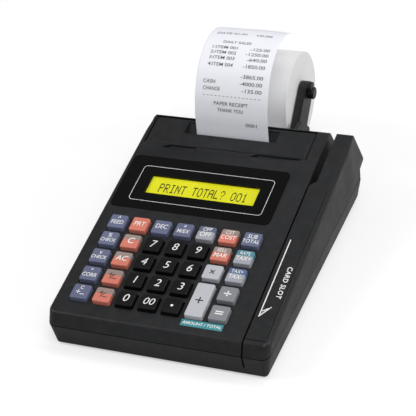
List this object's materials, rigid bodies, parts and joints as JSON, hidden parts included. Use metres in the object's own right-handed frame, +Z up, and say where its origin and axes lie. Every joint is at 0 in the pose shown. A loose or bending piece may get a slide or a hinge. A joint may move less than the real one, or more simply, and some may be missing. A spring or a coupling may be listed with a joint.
{
  "type": "desk printing calculator",
  "caption": "Desk printing calculator with a sloping keyboard, a lit display, a side card slot and a paper roll on swinging arms behind.",
  "frame": {"origin": "centre of the outline seen from above, on the table under the feet", "axes": "+X to the user's right, +Y away from the user towards the paper roll, +Z up"},
  "size_m": [0.161, 0.303, 0.1186],
  "materials": {
    "case_black": "satin fine-grained moulded",
    "bezel_black": "gloss black",
    "display_clear": "clear window",
    "lcd_yellow": "lit yellow panel",
    "mat_rubber": "moulded silicone",
    "board_green": "solder mask",
    "head_steel": "ground",
    "frame_steel": "pressed sheet",
    "head_ceramic": "glazed ceramic",
    "platen_rubber": "ground rubber",
    "gear_white": "moulded",
    "paper_white": "smooth paper",
    "core_grey": "moulded tube",
    "holder_black": "satin moulded",
    "spindle_grey": "satin moulded",
    "foot_rubber": "soft rubber",
    "jack_black": "moulded",
    "key_black": "satin moulded",
    "key_slate": "satin moulded",
    "key_coral": "satin moulded",
    "key_teal": "satin moulded",
    "key_light_grey": "satin moulded",
    "key_mid_grey": "satin moulded",
    "print_white": "printed ink",
    "print_dark": "printed ink",
    "label_teal": "printed ink"
  },
  "bodies": {
    "housing": {"bottom_shell": "case_black", "top_shell": "case_black", "display_bezel": "bezel_black", "display_window": "display_clear", "lcd_panel": "lcd_yellow", "keypad_mat": "mat_rubber", "main_board": "board_green", "reader_cover": "case_black", "printer_frame": "frame_steel", "print_head": "head_ceramic", "platen_bushes": "gear_white", "feed_motor": "frame_steel", "paper_strip": "paper_white", "feet": "foot_rubber", "case_screws": "frame_steel", "dc_jack": "jack_black"},
    "key_feed": {"key_feed": "key_slate"},
    "key_print": {"key_print": "key_coral"},
    "key_decimal": {"key_decimal": "key_slate"},
    "key_memory": {"key_memory": "key_slate"},
    "key_off": {"key_off": "key_slate"},
    "key_cost": {"key_cost": "key_coral"},
    "key_subtotal": {"key_subtotal": "key_slate"},
    "key_check_up": {"key_check_up": "key_slate"},
    "key_clear": {"key_clear": "key_coral"},
    "key_7": {"key_7": "key_black"},
    "key_8": {"key_8": "key_black"},
    "key_9": {"key_9": "key_black"},
    "key_margin": {"key_margin": "key_coral"},
    "key_tax_plus": {"key_tax_plus": "key_teal"},
    "key_check_down": {"key_check_down": "key_slate"},
    "key_all_clear": {"key_all_clear": "key_coral"},
    "key_4": {"key_4": "key_black"},
    "key_5": {"key_5": "key_black"},
    "key_6": {"key_6": "key_black"},
    "key_multiply": {"key_multiply": "key_light_grey"},
    "key_tax_minus": {"key_tax_minus": "key_teal"},
    "key_correct": {"key_correct": "key_slate"},
    "key_sign_up": {"key_sign_up": "key_coral"},
    "key_1": {"key_1": "key_black"},
    "key_2": {"key_2": "key_black"},
    "key_3": {"key_3": "key_black"},
    "key_plus": {"key_plus": "key_light_grey"},
    "key_divide": {"key_divide": "key_mid_grey"},
    "key_plus_minus": {"key_plus_minus": "key_slate"},
    "key_sign_down": {"key_sign_down": "key_coral"},
    "key_0": {"key_0": "key_black"},
    "key_00": {"key_00": "key_black"},
    "key_point": {"key_point": "key_black"},
    "key_equals": {"key_equals": "key_mid_grey"},
    "printer_cover": {"printer_cover": "case_black"},
    "roll_holder": {"roll_holder": "holder_black"},
    "paper_roll": {"paper_roll": "paper_white", "roll_core": "core_grey"},
    "spindle": {"spindle": "spindle_grey"},
    "platen": {"platen_roller": "platen_rubber", "platen_gear": "gear_white"},
    "motor_gear": {"motor_gear": "gear_white"},
    "read_head": {"read_head": "head_steel"},
    "battery_door": {"battery_door": "case_black"}
  },
  "joints": [
    {"name": "key_feed_press", "type": "slide", "parent": "housing", "child": "key_feed", "axis": [0, 0.165, -0.9863], "range_m": [0, 0.0018], "stiffness_N_per_m": 300, "springref_m": -0.0012},
    {"name": "key_print_press", "type": "slide", "parent": "housing", "child": "key_print", "axis": [0, 0.165, -0.9863], "range_m": [0, 0.0018], "stiffness_N_per_m": 300, "springref_m": -0.0012},
    {"name": "key_decimal_press", "type": "slide", "parent": "housing", "child": "key_decimal", "axis": [0, 0.165, -0.9863], "range_m": [0, 0.0018], "stiffness_N_per_m": 300, "springref_m": -0.0012},
    {"name": "key_memory_press", "type": "slide", "parent": "housing", "child": "key_memory", "axis": [0, 0.165, -0.9863], "range_m": [0, 0.0018], "stiffness_N_per_m": 300, "springref_m": -0.0012},
    {"name": "key_off_press", "type": "slide", "parent": "housing", "child": "key_off", "axis": [0, 0.165, -0.9863], "range_m": [0, 0.0018], "stiffness_N_per_m": 300, "springref_m": -0.0012},
    {"name": "key_cost_press", "type": "slide", "parent": "housing", "child": "key_cost", "axis": [0, 0.165, -0.9863], "range_m": [0, 0.0018], "stiffness_N_per_m": 300, "springref_m": -0.0012},
    {"name": "key_subtotal_press", "type": "slide", "parent": "housing", "child": "key_subtotal", "axis": [0, 0.165, -0.9863], "range_m": [0, 0.0018], "stiffness_N_per_m": 300, "springref_m": -0.0012},
    {"name": "key_check_up_press", "type": "slide", "parent": "housing", "child": "key_check_up", "axis": [0, 0.165, -0.9863], "range_m": [0, 0.0018], "stiffness_N_per_m": 300, "springref_m": -0.0012},
    {"name": "key_clear_press", "type": "slide", "parent": "housing", "child": "key_clear", "axis": [0, 0.165, -0.9863], "range_m": [0, 0.0018], "stiffness_N_per_m": 300, "springref_m": -0.0012},
    {"name": "key_7_press", "type": "slide", "parent": "housing", "child": "key_7", "axis": [0, 0.165, -0.9863], "range_m": [0, 0.0018], "stiffness_N_per_m": 300, "springref_m": -0.0012},
    {"name": "key_8_press", "type": "slide", "parent": "housing", "child": "key_8", "axis": [0, 0.165, -0.9863], "range_m": [0, 0.0018], "stiffness_N_per_m": 300, "springref_m": -0.0012},
    {"name": "key_9_press", "type": "slide", "parent": "housing", "child": "key_9", "axis": [0, 0.165, -0.9863], "range_m": [0, 0.0018], "stiffness_N_per_m": 300, "springref_m": -0.0012},
    {"name": "key_margin_press", "type": "slide", "parent": "housing", "child": "key_margin", "axis": [0, 0.165, -0.9863], "range_m": [0, 0.0018], "stiffness_N_per_m": 300, "springref_m": -0.0012},
    {"name": "key_tax_plus_press", "type": "slide", "parent": "housing", "child": "key_tax_plus", "axis": [0, 0.165, -0.9863], "range_m": [0, 0.0018], "stiffness_N_per_m": 300, "springref_m": -0.0012},
    {"name": "key_check_down_press", "type": "slide", "parent": "housing", "child": "key_check_down", "axis": [0, 0.165, -0.9863], "range_m": [0, 0.0018], "stiffness_N_per_m": 300, "springref_m": -0.0012},
    {"name": "key_all_clear_press", "type": "slide", "parent": "housing", "child": "key_all_clear", "axis": [0, 0.165, -0.9863], "range_m": [0, 0.0018], "stiffness_N_per_m": 300, "springref_m": -0.0012},
    {"name": "key_4_press", "type": "slide", "parent": "housing", "child": "key_4", "axis": [0, 0.165, -0.9863], "range_m": [0, 0.0018], "stiffness_N_per_m": 300, "springref_m": -0.0012},
    {"name": "key_5_press", "type": "slide", "parent": "housing", "child": "key_5", "axis": [0, 0.165, -0.9863], "range_m": [0, 0.0018], "stiffness_N_per_m": 300, "springref_m": -0.0012},
    {"name": "key_6_press", "type": "slide", "parent": "housing", "child": "key_6", "axis": [0, 0.165, -0.9863], "range_m": [0, 0.0018], "stiffness_N_per_m": 300, "springref_m": -0.0012},
    {"name": "key_multiply_press", "type": "slide", "parent": "housing", "child": "key_multiply", "axis": [0, 0.165, -0.9863], "range_m": [0, 0.0018], "stiffness_N_per_m": 300, "springref_m": -0.0012},
    {"name": "key_tax_minus_press", "type": "slide", "parent": "housing", "child": "key_tax_minus", "axis": [0, 0.165, -0.9863], "range_m": [0, 0.0018], "stiffness_N_per_m": 300, "springref_m": -0.0012},
    {"name": "key_correct_press", "type": "slide", "parent": "housing", "child": "key_correct", "axis": [0, 0.165, -0.9863], "range_m": [0, 0.0018], "stiffness_N_per_m": 300, "springref_m": -0.0012},
    {"name": "key_sign_up_press", "type": "slide", "parent": "housing", "child": "key_sign_up", "axis": [0, 0.165, -0.9863], "range_m": [0, 0.0018], "stiffness_N_per_m": 300, "springref_m": -0.0012},
    {"name": "key_1_press", "type": "slide", "parent": "housing", "child": "key_1", "axis": [0, 0.165, -0.9863], "range_m": [0, 0.0018], "stiffness_N_per_m": 300, "springref_m": -0.0012},
    {"name": "key_2_press", "type": "slide", "parent": "housing", "child": "key_2", "axis": [0, 0.165, -0.9863], "range_m": [0, 0.0018], "stiffness_N_per_m": 300, "springref_m": -0.0012},
    {"name": "key_3_press", "type": "slide", "parent": "housing", "child": "key_3", "axis": [0, 0.165, -0.9863], "range_m": [0, 0.0018], "stiffness_N_per_m": 300, "springref_m": -0.0012},
    {"name": "key_plus_press", "type": "slide", "parent": "housing", "child": "key_plus", "axis": [0, 0.165, -0.9863], "range_m": [0, 0.0018], "stiffness_N_per_m": 300, "springref_m": -0.0012},
    {"name": "key_divide_press", "type": "slide", "parent": "housing", "child": "key_divide", "axis": [0, 0.165, -0.9863], "range_m": [0, 0.0018], "stiffness_N_per_m": 300, "springref_m": -0.0012},
    {"name": "key_plus_minus_press", "type": "slide", "parent": "housing", "child": "key_plus_minus", "axis": [0, 0.165, -0.9863], "range_m": [0, 0.0018], "stiffness_N_per_m": 300, "springref_m": -0.0012},
    {"name": "key_sign_down_press", "type": "slide", "parent": "housing", "child": "key_sign_down", "axis": [0, 0.165, -0.9863], "range_m": [0, 0.0018], "stiffness_N_per_m": 300, "springref_m": -0.0012},
    {"name": "key_0_press", "type": "slide", "parent": "housing", "child": "key_0", "axis": [0, 0.165, -0.9863], "range_m": [0, 0.0018], "stiffness_N_per_m": 300, "springref_m": -0.0012},
    {"name": "key_00_press", "type": "slide", "parent": "housing", "child": "key_00", "axis": [0, 0.165, -0.9863], "range_m": [0, 0.0018], "stiffness_N_per_m": 300, "springref_m": -0.0012},
    {"name": "key_point_press", "type": "slide", "parent": "housing", "child": "key_point", "axis": [0, 0.165, -0.9863], "range_m": [0, 0.0018], "stiffness_N_per_m": 300, "springref_m": -0.0012},
    {"name": "key_equals_press", "type": "slide", "parent": "housing", "child": "key_equals", "axis": [0, 0.165, -0.9863], "range_m": [0, 0.0018], "stiffness_N_per_m": 300, "springref_m": -0.0012},
    {"name": "cover_hinge", "type": "hinge", "parent": "housing", "child": "printer_cover", "pos_m": [-0.0119, 0.05164, 0.05926], "axis": [-1, 0, 0], "range_deg": [0, 30]},
    {"name": "holder_hinge", "type": "hinge", "parent": "housing", "child": "roll_holder", "pos_m": [-0.01015, 0.0893, 0.033], "axis": [1, 0, 0], "range_deg": [0, 35], "deforming": ["paper_strip"]},
    {"name": "roll_spin", "type": "hinge", "parent": "roll_holder", "child": "paper_roll", "pos_m": [-0.01015, 0.1153, 0.0512], "axis": [1, 0, 0], "continuous": true},
    {"name": "spindle_slide", "type": "slide", "parent": "roll_holder", "child": "spindle", "axis": [1, 0, 0], "range_m": [0, 0.07]},
    {"name": "platen_spin", "type": "hinge", "parent": "housing", "child": "platen", "pos_m": [-0.01015, 0.0448, 0.046], "axis": [1, 0, 0], "continuous": true},
    {"name": "motor_spin", "type": "hinge", "parent": "housing", "child": "motor_gear", "pos_m": [0.0275, 0.05328, 0.03751], "axis": [1, 0, 0], "continuous": true},
    {"name": "head_press", "type": "slide", "parent": "housing", "child": "read_head", "axis": [1, 0, 0], "range_m": [0, 0.0008], "stiffness_N_per_m": 400, "springref_m": -0.0005},
    {"name": "door_hinge", "type": "hinge", "parent": "housing", "child": "battery_door", "pos_m": [-0.0025, -0.0703, 0.0026], "axis": [-1, 0, 0], "range_deg": [0, 95]}
  ],
  "couplings": [
    {"joint": "motor_spin", "follows": "platen_spin", "ratio": -1.6667}
  ]
}
